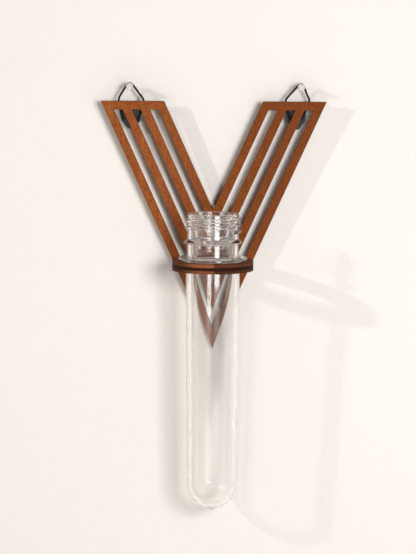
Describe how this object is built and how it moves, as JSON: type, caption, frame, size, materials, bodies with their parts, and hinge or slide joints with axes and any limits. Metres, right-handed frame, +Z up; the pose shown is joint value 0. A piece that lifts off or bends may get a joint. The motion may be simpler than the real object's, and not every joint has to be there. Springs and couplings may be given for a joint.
{
  "type": "wall hung test tube vase",
  "caption": "Slatted wooden V hung from wall pins by cord loops, with a round ring that holds a clear screw-neck tube by its flange.",
  "frame": {"origin": "on the wall's surface, midway between the two pin needles and level with their axes", "axes": "+X to the viewer's right, +Y into the wall, +Z up"},
  "size_m": [0.11, 0.0512, 0.2072],
  "materials": {
    "stained_wood": "thin laser-cut board with a red-brown stain, open fine grain and dark cut edges",
    "ring_wood": "the same board seen on its burnt cut edge, satin",
    "clear_tube": "clear injection-moulded bottle plastic, polished",
    "black_cord": "waxed twisted cord",
    "black_pad": "soft black sheet with a low sheen",
    "clear_pin_head": "clear moulded plastic",
    "pin_steel": "drawn wire"
  },
  "bodies": {
    "wall_pins": {"pin_head_left": "clear_pin_head", "pin_head_right": "clear_pin_head", "pin_needle_left": "pin_steel", "pin_needle_right": "pin_steel"},
    "frame": {"v_panel": "stained_wood", "ring_upper": "ring_wood", "ring_lower": "ring_wood", "cord_left": "black_cord", "cord_right": "black_cord", "pad_left": "black_pad", "pad_right": "black_pad"},
    "tube": {"test_tube": "clear_tube"}
  },
  "joints": [
    {"name": "swing_off_wall", "type": "hinge", "parent": "wall_pins", "child": "frame", "pos_m": [0, -0.0016, 0.00135], "axis": [-1, 0, 0], "range_deg": [0, 35]},
    {"name": "tube_lift", "type": "slide", "parent": "frame", "child": "tube", "axis": [0, 0, 1], "range_m": [0, 0.13]}
  ]
}
